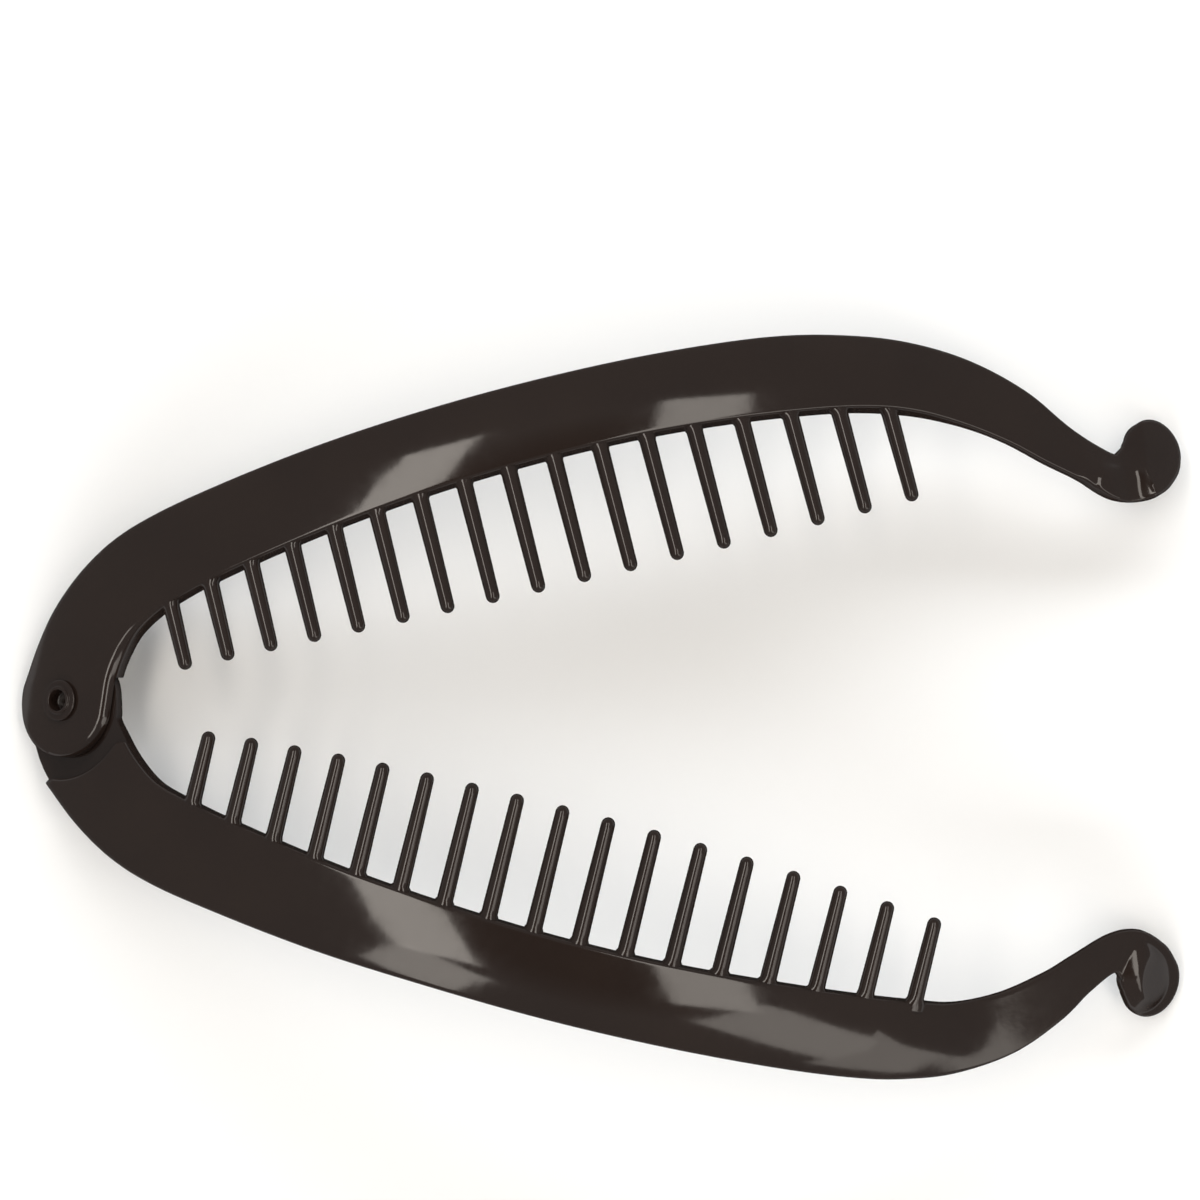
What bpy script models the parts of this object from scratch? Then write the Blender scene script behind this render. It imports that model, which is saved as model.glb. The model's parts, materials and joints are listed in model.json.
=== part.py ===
"""A large banana hair clip: two arched comb arms that turn on a rivet and cross at their hooked ends."""

import math

import bmesh
import bpy
from mathutils import Matrix, Vector

MM = 0.001
GAP = 0.3

# Every length below is in millimetres. The clip is modelled shut, in its hinge's own frame:
# Z is the hinge axis, s runs along the arch from the hinge, v runs across it and w runs out of its front.
ARCH_RADIUS = 130.0
THICKNESS = 3.4
CROWN = 0.5
EDGE_RADIUS = 0.5
RING_STEP = 2.6

# How the clip lies open on a table: each arm's turn from shut, then the hinge axis's own slope.
# It lies on the tongue's back edge and on the undersides of both hooks.
UPPER_OPEN_DEG = 19.15
LOWER_OPEN_DEG = -14.85
LYING_PITCH_DEG = 34.62
LYING_LEAN_DEG = -2.1
LYING_TURN_DEG = -(UPPER_OPEN_DEG + LOWER_OPEN_DEG) / 2

# Centre line of each arm, from the hinge to the middle of its hook. v is counted towards the arm's own side.
# The columns are s, v and the arm's width there.
UPPER_ARM = (
    (0.0, 0.0, 14.65),
    (2.9, 4.2, 13.4),
    (5.9, 7.3, 12.75),
    (9.9, 10.1, 12.05),
    (14.9, 12.1, 11.9),
    (21.0, 13.3, 11.6),
    (30.0, 14.2, 11.3),
    (45.0, 15.3, 10.9),
    (60.0, 16.0, 10.5),
    (75.0, 16.3, 10.3),
    (90.0, 16.2, 10.3),
    (105.0, 15.5, 10.4),
    (115.4, 14.2, 9.8),
    (122.6, 12.4, 9.4),
    (129.0, 9.6, 9.1),
    (135.2, 5.7, 8.2),
    (139.9, 1.7, 6.8),
    (144.2, -1.5, 5.7),
    (148.0, -3.95, 6.35),
    (151.6, -3.6, 7.95),
    (153.8, -2.0, 8.4),
    (154.4, -1.05, 8.3),
)
LOWER_ARM = (
    (0.2, 0.2, 14.6),
    (2.7, 4.1, 14.0),
    (5.95, 6.75, 13.15),
    (10.0, 9.4, 12.4),
    (15.1, 11.7, 11.9),
    (21.1, 12.9, 12.0),
    (30.0, 13.8, 11.7),
    (45.0, 14.9, 11.2),
    (60.0, 15.4, 10.7),
    (75.0, 15.6, 10.5),
    (90.0, 15.3, 10.5),
    (105.0, 14.5, 10.7),
    (115.3, 13.7, 10.6),
    (122.7, 12.8, 10.2),
    (129.5, 11.5, 9.4),
    (136.3, 8.5, 8.6),
    (142.1, 4.1, 7.2),
    (145.8, 0.3, 5.8),
    (149.7, -3.05, 5.3),
    (152.9, -3.45, 6.9),
    (155.6, -1.95, 8.7),
    (157.5, -0.25, 9.15),
)

# Teeth: a row for every fourth one. The columns are its number, the s of its tip, and how far past the
# middle line that tip reaches.
TOOTH_COUNT = 17
UPPER_TEETH = (
    (1, 19.0, 1.8),
    (5, 43.8, 4.4),
    (9, 67.9, 5.7),
    (13, 92.5, 5.5),
    (17, 118.6, 3.7),
)
LOWER_TEETH = (
    (1, 22.7, 2.3),
    (5, 47.3, 5.1),
    (9, 71.4, 6.1),
    (13, 96.0, 5.6),
    (17, 122.4, 3.4),
)
TOOTH_ROOT_RADIUS = 1.1
TOOTH_TIP_RADIUS = 0.9
TOOTH_DEPTH = 1.7
TOOTH_LEAN_DEG = 0.9
TOOTH_SIDES = 10
ROOT_OVERLAP = 2.0

# Hinge: the upper arm's ear is the front half of its thickness, and the lower arm's tongue the back half.
EAR_RECESS_RADIUS = 8.3
TONGUE_RECESS_RADIUS = 10.1
SHOULDER_CORNER = (-0.9, -10.2)
SHOULDER_CORNER_RADIUS = 1.2
LAP_LEVEL = -1.85
TONGUE_BACK = -3.55
HOLE_RADIUS = 2.2
RIVET_RADIUS = 1.9
RIVET_HEAD_RADIUS = 2.65
RIVET_HEAD_HEIGHT = 0.5
RIVET_LIP_RADIUS = 1.65
RIVET_BORE_RADIUS = 1.2
RIVET_BORE_DEPTH = 2.4
ROUND_SIDES = 40

# Hooks: from LAP_START to LAP_END each arm thins to its own layer, so that the shut ends can cross.
LAP_START = 118.0
LAP_END = 135.0
UPPER_HOOK_BACK = -1.4
LOWER_HOOK_FRONT = -2.0
CATCH_START = 145.5
CATCH_END = 152.0
CATCH_FRONT = 1.75
CATCH_BACK = -0.45
KNOB_CENTRE = (155.7, 0.3)
KNOB_RADIUS = 3.7
KNOB_HEIGHT = 1.0
KNOB_STRETCH = 1.25
KNOB_TURN_DEG = 35.0

BROWN = (0.032, 0.021, 0.018, 1.0)
DARK_BROWN = (0.024, 0.016, 0.014, 1.0)


def on_arch(s, v, w):
    """The point at s along the arch, v across it and w out of its front face, in metres."""
    angle = s / ARCH_RADIUS
    radius = ARCH_RADIUS + w
    x = radius * math.sin(angle)
    z = radius * math.cos(angle) - ARCH_RADIUS
    return Vector((x, v, z)) * MM


def ramp(x, start, end):
    """A smooth step from 0 at start to 1 at end."""
    t = min(max((x - start) / (end - start), 0.0), 1.0)
    return t * t * (3.0 - 2.0 * t)


def through_rows(rows, t):
    """The smooth curve through a table's rows, read at row number t."""
    k = min(int(t), len(rows) - 2)
    f = t - k
    start, end = rows[k], rows[k + 1]
    before = rows[k - 1] if k > 0 else [2 * b - c for b, c in zip(start, end)]
    after = rows[k + 2] if k + 2 < len(rows) else [2 * c - b for b, c in zip(start, end)]
    return tuple(
        b + 0.5 * f * (c - a + f * (2 * a - 5 * b + 4 * c - d + f * (3 * (b - c) + d - a)))
        for a, b, c, d in zip(before, start, end, after)
    )


def tooth_place(rows, number):
    """The s and the reach of a numbered tooth, on the one smooth curve through all the table's rows."""
    s = reach = 0.0
    for row in rows:
        share = math.prod((number - other[0]) / (row[0] - other[0]) for other in rows if other is not row)
        s += share * row[1]
        reach += share * row[2]
    return s, reach


def new_object(name, mesh, collection):
    obj = bpy.data.objects.new(name, mesh)
    collection.objects.link(obj)
    return obj


def make_helper(obj, parent):
    """A cutter or a shape to join: it isn't part of the clip, and it moves with the piece it works on."""
    obj.hide_render = True
    obj.display_type = "WIRE"
    obj.parent = parent


def combine(obj, other, operation):
    modifier = obj.modifiers.new(other.name, "BOOLEAN")
    modifier.object = other
    modifier.operation = operation
    modifier.solver = "EXACT"


def loft(name, rings):
    """A closed mesh through rings of equally many points, with a flat cap on each end."""
    mesh = bpy.data.meshes.new(name)
    bm = bmesh.new()
    loops = [[bm.verts.new(point) for point in ring] for ring in rings]
    sides = len(rings[0])
    for a, b in zip(loops, loops[1:]):
        for k in range(sides):
            n = (k + 1) % sides
            bm.faces.new((a[k], a[n], b[n], b[k]))
    bm.faces.new(reversed(loops[0]))
    bm.faces.new(loops[-1])
    bmesh.ops.recalc_face_normals(bm, faces=bm.faces)
    bm.to_mesh(mesh)
    bm.free()
    return mesh


def turned(name, profile, sides):
    """A closed mesh turned round Z from (radius, height) points that run down its outer side."""
    mesh = bpy.data.meshes.new(name)
    points = [(r * MM, 0.0, z * MM) for r, z in profile]
    mesh.from_pydata(points, [(k, k + 1) for k in range(len(points) - 1)], [])
    obj = bpy.data.objects.new(name, mesh)
    bpy.context.scene.collection.objects.link(obj)
    screw = obj.modifiers.new("turn", "SCREW")
    screw.axis = "Z"
    screw.steps = screw.render_steps = sides
    screw.use_merge_vertices = True
    screw.merge_threshold = 0.000001
    bpy.context.view_layer.update()
    graph = bpy.context.evaluated_depsgraph_get()
    solid = bpy.data.meshes.new_from_object(obj.evaluated_get(graph))
    solid.name = name
    bpy.data.objects.remove(obj)
    return solid


def section(half, front, back):
    """An arm's cross-section as (across, level) points: a crowned front, a flat back and rounded edges."""
    crown = CROWN * min(half / 5.0, 1.0)
    radius = min(EDGE_RADIUS, 0.4 * half, 0.4 * (front - crown - back))
    corner = [(radius * math.sin(a), radius * math.cos(a)) for a in (0.0, math.pi / 4, math.pi / 2)]
    side = half - radius
    edge = front - crown - radius
    points = [(x * half, front - crown * x * x) for x in (-0.5, 0.0, 0.5)]
    points += [(side + x, edge + y) for x, y in corner]
    points += [(side + x, back + radius - y) for x, y in reversed(corner)]
    points += [(-side - x, back + radius - y) for x, y in corner]
    points += [(-side - x, edge + y) for x, y in reversed(corner)]
    return points


def stations(rows, end_steps=7):
    """(s, v, half width, direction) along an arm: a round end at the hinge, its length, and a round hook end."""
    found = []
    count = len(rows) - 1
    for k in range(count):
        length = math.dist(rows[k][:2], rows[k + 1][:2])
        steps = max(2, round(length / RING_STEP))
        found += [through_rows(rows, k + i / steps) for i in range(steps)]
    found.append(rows[-1])
    places = []
    for k, (s, v, width) in enumerate(found):
        before, after = found[max(k - 1, 0)], found[min(k + 1, len(found) - 1)]
        places.append((s, v, width / 2, math.atan2(after[1] - before[1], after[0] - before[0])))

    def rounded(place, outward):
        s, v, half, direction = place
        ends = []
        for k in range(1, end_steps + 1):
            a = math.radians(86.0) * k / end_steps
            reach = outward * half * math.sin(a)
            ends.append(
                (s + reach * math.cos(direction), v + reach * math.sin(direction), half * math.cos(a), direction)
            )
        return ends

    return rounded(places[0], -1)[::-1] + places + rounded(places[-1], 1)


def arm_mesh(name, rows, side, levels):
    """An arm's body. side is 1 for the upper arm and -1 for the lower, levels gives its front and back at s."""
    rings = []
    for s, v, half, direction in stations(rows):
        ring = []
        for across, level in section(half, *levels(s)):
            along = s - across * math.sin(direction)
            ring.append(on_arch(along, side * (v + across * math.cos(direction)), level))
        rings.append(ring)
    return loft(name, rings)


def upper_levels(s):
    front = CATCH_FRONT * ramp(s, CATCH_START, CATCH_END)
    back = -THICKNESS + (THICKNESS + UPPER_HOOK_BACK) * ramp(s, LAP_START, LAP_END)
    return front, back + (CATCH_BACK - UPPER_HOOK_BACK) * ramp(s, CATCH_START, CATCH_END)


def lower_levels(s):
    return LOWER_HOOK_FRONT * ramp(s, LAP_START, LAP_END), -THICKNESS


def inner_edge(rows, s):
    """Where an arm's inner side lies at s, counted towards the arm's own side."""
    t = next(k for k in range(1, len(rows)) if rows[k][0] >= s)
    f = (s - rows[t - 1][0]) / (rows[t][0] - rows[t - 1][0])
    _, v, width = through_rows(rows, t - 1 + f)
    return v - width / 2


def tooth(length):
    """One tapered tooth with a round tip, standing on its root."""
    tip = [math.radians(a) for a in (15, 45, 75)]
    top = length - TOOTH_TIP_RADIUS
    profile = [(0.0, length)]
    profile += [(TOOTH_TIP_RADIUS * math.sin(a), top + TOOTH_TIP_RADIUS * math.cos(a)) for a in tip]
    profile += [(TOOTH_TIP_RADIUS, top), (TOOTH_ROOT_RADIUS, ROOT_OVERLAP), (TOOTH_ROOT_RADIUS, 0.0), (0.0, 0.0)]
    return turned("tooth", profile, TOOTH_SIDES)


def teeth_mesh(name, arm_rows, tooth_rows, side):
    """All the teeth of an arm, parallel, nearly square to the middle line when the clip is shut."""
    bm = bmesh.new()
    for number in range(1, TOOTH_COUNT + 1):
        s, reach = tooth_place(tooth_rows, number)
        length = inner_edge(arm_rows, s) + ROOT_OVERLAP + reach
        mesh = tooth(length)
        place = Matrix.Translation(on_arch(s, -side * reach, -TOOTH_DEPTH))
        place @= Matrix.Rotation(s / ARCH_RADIUS, 4, "Y") @ Matrix.Rotation(math.radians(TOOTH_LEAN_DEG), 4, "Z")
        place @= Matrix.Rotation(side * math.radians(90), 4, "X")
        mesh.transform(place @ Matrix.Translation((0, 0, -length * MM)))
        bm.from_mesh(mesh)
        bpy.data.meshes.remove(mesh)
    mesh = bpy.data.meshes.new(name)
    bm.to_mesh(mesh)
    bm.free()
    return mesh


def disc(name, radius, low, high, collection, parent, centre=(0.0, 0.0)):
    """A round cutter, on the hinge axis unless its centre is given."""
    mesh = turned(name, ((0.0, high), (radius, high), (radius, low), (0.0, low)), ROUND_SIDES)
    mesh.transform(Matrix.Translation((centre[0] * MM, centre[1] * MM, 0.0)))
    obj = new_object(name, mesh, collection)
    make_helper(obj, parent)
    return obj


def knob_mesh(name):
    """The low teardrop knob on the lower hook, standing on its front face."""
    s, v = KNOB_CENTRE
    mesh = bpy.data.meshes.new(name)
    bm = bmesh.new()
    bmesh.ops.create_uvsphere(bm, u_segments=28, v_segments=14, radius=1.0)
    turn = math.radians(KNOB_TURN_DEG)
    for vert in bm.verts:
        x, y, z = vert.co
        stretch = KNOB_STRETCH if y > 0 else 1.0
        x *= KNOB_RADIUS * (1.0 - 0.35 * max(y, 0.0) ** 2)
        y *= KNOB_RADIUS * stretch
        along = s + x * math.cos(turn) - y * math.sin(turn)
        across = v + x * math.sin(turn) + y * math.cos(turn)
        vert.co = on_arch(along, across, LOWER_HOOK_FRONT - 0.3 + z * (KNOB_HEIGHT + 0.3))
    bm.to_mesh(mesh)
    bm.free()
    return mesh


def rivet_mesh(name):
    """A rivet with a flat head on each side, and a blind bore with a raised lip in the front one."""
    head = GAP + RIVET_HEAD_HEIGHT
    tail = TONGUE_BACK - GAP - RIVET_HEAD_HEIGHT
    profile = (
        (0.0, head - RIVET_BORE_DEPTH),
        (RIVET_BORE_RADIUS - 0.2, head - RIVET_BORE_DEPTH),
        (RIVET_BORE_RADIUS, head - RIVET_BORE_DEPTH + 0.3),
        (RIVET_BORE_RADIUS, head + 0.05),
        (RIVET_BORE_RADIUS + 0.1, head + 0.15),
        (RIVET_LIP_RADIUS - 0.1, head + 0.15),
        (RIVET_LIP_RADIUS, head + 0.05),
        (RIVET_LIP_RADIUS, head - 0.1),
        (RIVET_HEAD_RADIUS - 0.2, head - 0.1),
        (RIVET_HEAD_RADIUS, head - 0.3),
        (RIVET_HEAD_RADIUS, GAP),
        (RIVET_RADIUS, GAP),
        (RIVET_RADIUS, TONGUE_BACK - GAP),
        (RIVET_HEAD_RADIUS, TONGUE_BACK - GAP),
        (RIVET_HEAD_RADIUS, tail + 0.2),
        (RIVET_HEAD_RADIUS - 0.2, tail),
        (0.0, tail),
    )
    return turned(name, profile, ROUND_SIDES)


def plastic(name, colour, roughness):
    material = bpy.data.materials.new(name)
    material.use_nodes = True
    shader = material.node_tree.nodes["Principled BSDF"]
    shader.inputs["Base Color"].default_value = colour
    shader.inputs["Roughness"].default_value = roughness
    shader.inputs["Metallic"].default_value = 0.0
    return material


def finish_piece(obj, hinge, material):
    obj.parent = hinge
    obj.data.materials.append(material)
    obj.data.shade_smooth()
    obj.data.set_sharp_from_angle(angle=math.radians(35))


def comb_arm(name, rows, tooth_rows, side, levels, hinge, parts, helpers):
    """An arm with its teeth and its rivet hole, on the hinge axis."""
    arm = new_object(name, arm_mesh(name, rows, side, levels), parts)
    teeth = new_object(name + "_teeth", teeth_mesh(name + "_teeth", rows, tooth_rows, side), helpers)
    make_helper(teeth, arm)
    combine(arm, teeth, "UNION")
    finish_piece(arm, hinge, plastic(name, BROWN, 0.16))
    return arm


def set_down(hinge, pieces):
    """Moves the hinge so that the lying clip has the middle of its box over the origin and its lowest point at 0."""
    bpy.context.view_layer.update()
    graph = bpy.context.evaluated_depsgraph_get()
    points = []
    for obj in pieces:
        solid = obj.evaluated_get(graph)
        points += [solid.matrix_world @ vert.co for vert in solid.data.vertices]
    low = Vector([min(p[k] for p in points) for k in range(3)])
    high = Vector([max(p[k] for p in points) for k in range(3)])
    middle = (low + high) / 2
    hinge.location -= Vector((middle.x, middle.y, low.z))


def main():
    for obj in list(bpy.data.objects):
        bpy.data.objects.remove(obj)
    parts = bpy.data.collections.new("banana_hair_clip")
    helpers = bpy.data.collections.new("cutters")
    for collection in (parts, helpers):
        bpy.context.scene.collection.children.link(collection)
    hinge = new_object("hinge_axis", None, parts)
    lying = (LYING_LEAN_DEG, -LYING_PITCH_DEG, LYING_TURN_DEG)
    hinge.rotation_euler = [math.radians(angle) for angle in lying]

    upper = comb_arm("upper_comb_arm", UPPER_ARM, UPPER_TEETH, 1, upper_levels, hinge, parts, helpers)
    combine(upper, disc("ear_recess", EAR_RECESS_RADIUS, -12.0, LAP_LEVEL + GAP / 2, helpers, upper), "DIFFERENCE")
    combine(upper, disc("ear_hole", HOLE_RADIUS, -12.0, 12.0, helpers, upper), "DIFFERENCE")
    upper.rotation_euler.z = math.radians(UPPER_OPEN_DEG)

    lower = comb_arm("lower_comb_arm", LOWER_ARM, LOWER_TEETH, -1, lower_levels, hinge, parts, helpers)
    lap = LAP_LEVEL - GAP / 2
    combine(lower, disc("tongue_recess", TONGUE_RECESS_RADIUS, lap, 12.0, helpers, lower), "DIFFERENCE")
    corner = disc("shoulder_corner", SHOULDER_CORNER_RADIUS, lap, 12.0, helpers, lower, SHOULDER_CORNER)
    combine(lower, corner, "DIFFERENCE")
    combine(lower, disc("tongue_hole", HOLE_RADIUS, -12.0, 12.0, helpers, lower), "DIFFERENCE")
    knob = new_object("hook_knob", knob_mesh("hook_knob"), helpers)
    make_helper(knob, lower)
    combine(lower, knob, "UNION")
    lower.rotation_euler.z = math.radians(LOWER_OPEN_DEG)

    rivet = new_object("hinge_rivet", rivet_mesh("hinge_rivet"), parts)
    finish_piece(rivet, hinge, plastic("hinge_rivet", DARK_BROWN, 0.2))
    set_down(hinge, (upper, lower, rivet))


main()
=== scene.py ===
# %% [markdown]
# A large banana hair clip. It is two arched comb arms of dark brown plastic, joined at one end by a
# hollow rivet, with teeth that mesh when it shuts and two hooked ends that cross and catch. The lesson
# builds each arm in three steps: a flat strip, laid on an arch, then turned open about the hinge. Working
# flat keeps every rule short, because along, across and out of the arm are then plain X, Y and Z.

# %% Load the frame
import json
import math

import bmesh
import bpy
from mathutils import Euler, Matrix, Vector


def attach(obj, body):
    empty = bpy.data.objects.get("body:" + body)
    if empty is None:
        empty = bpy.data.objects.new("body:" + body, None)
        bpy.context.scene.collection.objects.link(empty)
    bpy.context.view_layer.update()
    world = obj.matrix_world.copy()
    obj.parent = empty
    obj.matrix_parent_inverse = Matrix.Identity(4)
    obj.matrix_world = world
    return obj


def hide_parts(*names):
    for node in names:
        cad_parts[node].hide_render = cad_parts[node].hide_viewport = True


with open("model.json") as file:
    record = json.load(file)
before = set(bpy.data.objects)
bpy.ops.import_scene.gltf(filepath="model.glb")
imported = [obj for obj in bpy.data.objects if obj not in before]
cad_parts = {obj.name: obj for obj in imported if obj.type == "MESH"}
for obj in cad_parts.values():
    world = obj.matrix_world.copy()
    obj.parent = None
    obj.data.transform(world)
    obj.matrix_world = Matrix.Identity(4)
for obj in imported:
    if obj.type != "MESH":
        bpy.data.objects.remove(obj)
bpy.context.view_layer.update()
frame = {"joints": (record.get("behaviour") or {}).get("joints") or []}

# %% [markdown]
# The hinge comes first, because both arms are measured from it. Its axis and place are read from the
# frame. Only its turn about that axis is missing there, so the three angles that the clip lies at are
# named here, and the printed check says how far they are from the frame's own axis.

# %% The hinge's own frame
MM = 0.001
LYING_ANGLES_DEG = (-2.1, -34.62, -2.15)
OPEN_DEG = {"upper": 19.15, "lower": -14.85}
SIDE = {"upper": 1, "lower": -1}

joint = frame["joints"][0]
hinge_turn = Euler([math.radians(a) for a in LYING_ANGLES_DEG]).to_matrix()
hinge = Matrix.Translation(joint["pos_m"]) @ hinge_turn.to_4x4()
print("axis error in degrees:", round(math.degrees(hinge_turn.col[2].angle(Vector(joint["axis"]))), 4))

# %% [markdown]
# Both arms bend along the same arch, so the clip hugs the head. A real one is moulded on that curve. Here
# one function carries a flat point (along, across, out) to the arch, and lay_out moves a whole mesh: onto
# the arch, mirrored for the lower arm. open_up then turns it open and sets it down in the frame.

# %% From the flat strip to the arch
ARCH_RADIUS = 130.0


def on_arch(s, v, w):
    """The point at s along the arch, v across it and w out of its front, in metres in the hinge's frame."""
    angle = s / ARCH_RADIUS
    radius = ARCH_RADIUS + w
    return Vector((radius * math.sin(angle), v, radius * math.cos(angle) - ARCH_RADIUS)) * MM


def lay_out(mesh, side):
    """Carries a flat mesh in millimetres onto the arch. The lower arm's side is -1, which mirrors it."""
    for vert in mesh.vertices:
        s, v, w = vert.co
        vert.co = on_arch(s, side * v, w)
    if side < 0:
        mesh.flip_normals()
    mesh.update()


def open_up(mesh, arm):
    """Turns a mesh about the hinge to where its arm lies open."""
    mesh.transform(hinge @ Matrix.Rotation(math.radians(OPEN_DEG[arm]), 4, "Z"))
    mesh.update()


def smooth_step(x, start, end):
    """0 before start, 1 after end, with an even slope at both."""
    t = min(max((x - start) / (end - start), 0.0), 1.0)
    return t * t * (3.0 - 2.0 * t)


# %% [markdown]
# Every node tree below is written out in code, so one small function adds a node: it sets the node's
# options and feeds its sockets, in their order or by name. A value can be a number, a socket, or a node,
# whose first output is meant. A second function makes an empty tree with named inputs, and a third runs
# it on an object and swaps the object's mesh for the result, with the modifier gone. Two more make an
# object and check that its mesh is closed, with all faces turned outwards.

# %% Helpers
def add_node(tree, kind, inputs=(), **settings):
    """Adds one node, with its settings and its links."""
    node = tree.nodes.new(kind)
    for name, value in settings.items():
        setattr(node, name, value)
    for key, value in inputs.items() if isinstance(inputs, dict) else enumerate(inputs):
        if isinstance(value, bpy.types.Node):
            value = next(socket for socket in value.outputs if socket.enabled)
        if isinstance(value, bpy.types.NodeSocket):
            tree.links.new(value, node.inputs[key])
        else:
            node.inputs[key].default_value = value
    return node


def new_tree(name, sizes):
    """A geometry tree with a Geometry input and a named input for each size, and its input node."""
    tree = bpy.data.node_groups.new(name, "GeometryNodeTree")
    tree.interface.new_socket("Geometry", in_out="INPUT", socket_type="NodeSocketGeometry")
    for label, value in sizes.items():
        kind = {int: "NodeSocketInt", float: "NodeSocketFloat"}.get(type(value), "NodeSocketMaterial")
        tree.interface.new_socket(label, in_out="INPUT", socket_type=kind)
    tree.interface.new_socket("Geometry", in_out="OUTPUT", socket_type="NodeSocketGeometry")
    return tree, add_node(tree, "NodeGroupInput").outputs


def run_tree(tree, obj, sizes):
    """Swaps an object's mesh for what the tree makes of it. Each size goes in by its socket's identifier."""
    modifier = obj.modifiers.new(tree.name, "NODES")
    modifier.node_group = tree
    for item in tree.interface.items_tree:
        if item.in_out == "INPUT" and item.name in sizes:
            modifier[item.identifier] = sizes[item.name]
    graph = bpy.context.evaluated_depsgraph_get()
    mesh = bpy.data.meshes.new_from_object(obj.evaluated_get(graph))
    obj.modifiers.remove(modifier)
    obj.data = mesh


def new_object(name, mesh):
    """An object in the scene, at the origin."""
    obj = bpy.data.objects.new(name, mesh)
    bpy.context.scene.collection.objects.link(obj)
    return obj


def close_mesh(obj):
    """Turns a closed mesh's faces outwards and counts what is still open."""
    bm = bmesh.new()
    bm.from_mesh(obj.data)
    bmesh.ops.recalc_face_normals(bm, faces=bm.faces)
    open_edges = sum(len(edge.link_faces) != 2 for edge in bm.edges)
    bm.to_mesh(obj.data)
    bm.free()
    print(obj.name, "faces:", len(obj.data.polygons), "open edges:", open_edges)


# %% [markdown]
# The plastic is an injection-moulded polystyrene, coloured through in a brown that is nearly black, from
# a polished mould. Three things give it away: a clear gloss of refractive index 1.54, a colour that only
# shows as warmth in the light parts, and a skin that isn't quite flat, because thick plastic shrinks as
# it cools. So the colour drifts a little between two browns, the roughness drifts with fine wear, and two
# bumps lie under the gloss: slow waves some 9 mm long from shrinking, and faint ones under a millimetre
# from the mould's polish.

# %% The brown plastic
NOISES = {
    # size in mm, detail
    "drift": (14.0, 2.0),
    "wave": (9.0, 1.0),
    "polish": (0.8, 2.0),
    "wear": (1.6, 4.0),
}
WEAR_RANGE = (0.35, 0.7)
ROUGHNESS_SPREAD = (0.85, 1.25)
POLISH_SHARE = 0.04
POLYSTYRENE_IOR = 1.54


def linear(code):
    """An sRGB hex colour as linear red, green, blue and alpha."""
    parts = [int(code[k:k + 2], 16) / 255 for k in (1, 3, 5)]
    return [p / 12.92 if p <= 0.04045 else ((p + 0.055) / 1.055) ** 2.4 for p in parts] + [1.0]


def moulded_plastic(name, deep, warm, roughness, wave, seed):
    """Glossy moulded polystyrene: deep and warm are its two browns, wave is how uneven its skin is."""
    material = bpy.data.materials.new(name)
    material.use_nodes = True
    tree = material.node_tree
    shader = tree.nodes["Principled BSDF"]
    place = add_node(tree, "ShaderNodeTexCoord").outputs["Object"]
    # the seed moves the noises, so that the two plastics don't share a pattern
    moved = add_node(tree, "ShaderNodeMapping", {"Vector": place, "Location": (seed, 0.37 * seed, 0.0)})
    noises = {}
    for label, (size_mm, detail) in NOISES.items():
        scale = 1.0 / (size_mm * MM)
        inputs = {"Vector": moved, "Scale": scale, "Detail": detail}
        noises[label] = add_node(tree, "ShaderNodeTexNoise", inputs)
    # a Mix node's two colours are its sockets 6 and 7
    browns = {"Factor": noises["drift"], 6: linear(deep), 7: linear(warm)}
    colour = add_node(tree, "ShaderNodeMix", browns, data_type="RGBA")
    tree.links.new(colour.outputs[2], shader.inputs["Base Color"])
    spread = [factor * roughness for factor in ROUGHNESS_SPREAD]
    rough = add_node(tree, "ShaderNodeMapRange", [noises["wear"], *WEAR_RANGE, *spread])
    tree.links.new(rough.outputs[0], shader.inputs["Roughness"])
    slow = {"Height": noises["wave"], "Distance": wave * MM, "Strength": 1.0}
    waves = add_node(tree, "ShaderNodeBump", slow)
    fine = {"Height": noises["polish"], "Distance": POLISH_SHARE * wave * MM, "Normal": waves}
    skin = add_node(tree, "ShaderNodeBump", fine)
    tree.links.new(skin.outputs[0], shader.inputs["Normal"])
    shader.inputs["IOR"].default_value = POLYSTYRENE_IOR
    return material


brown = moulded_plastic("polished_brown_polystyrene", "#201815", "#281f1a", 0.09, 0.05, 1.0)
rivet_brown = moulded_plastic("rivet_brown_polystyrene", "#1f1714", "#261c17", 0.17, 0.03, 4.0)
print("materials:", brown.name, rivet_brown.name)

# %% [markdown]
# An arm is a strip with a centre line that leaves the hinge in a quick curve, runs nearly straight past
# the teeth, and sweeps back over the middle to its hook. It could be drawn as an outline and extruded,
# but the front of the real one is crowned and its width changes all the way, so it is swept: a row for
# each place that matters gives how far along the arch it is, how far across, and how wide the arm is
# there. A smooth curve runs through the rows.

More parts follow.
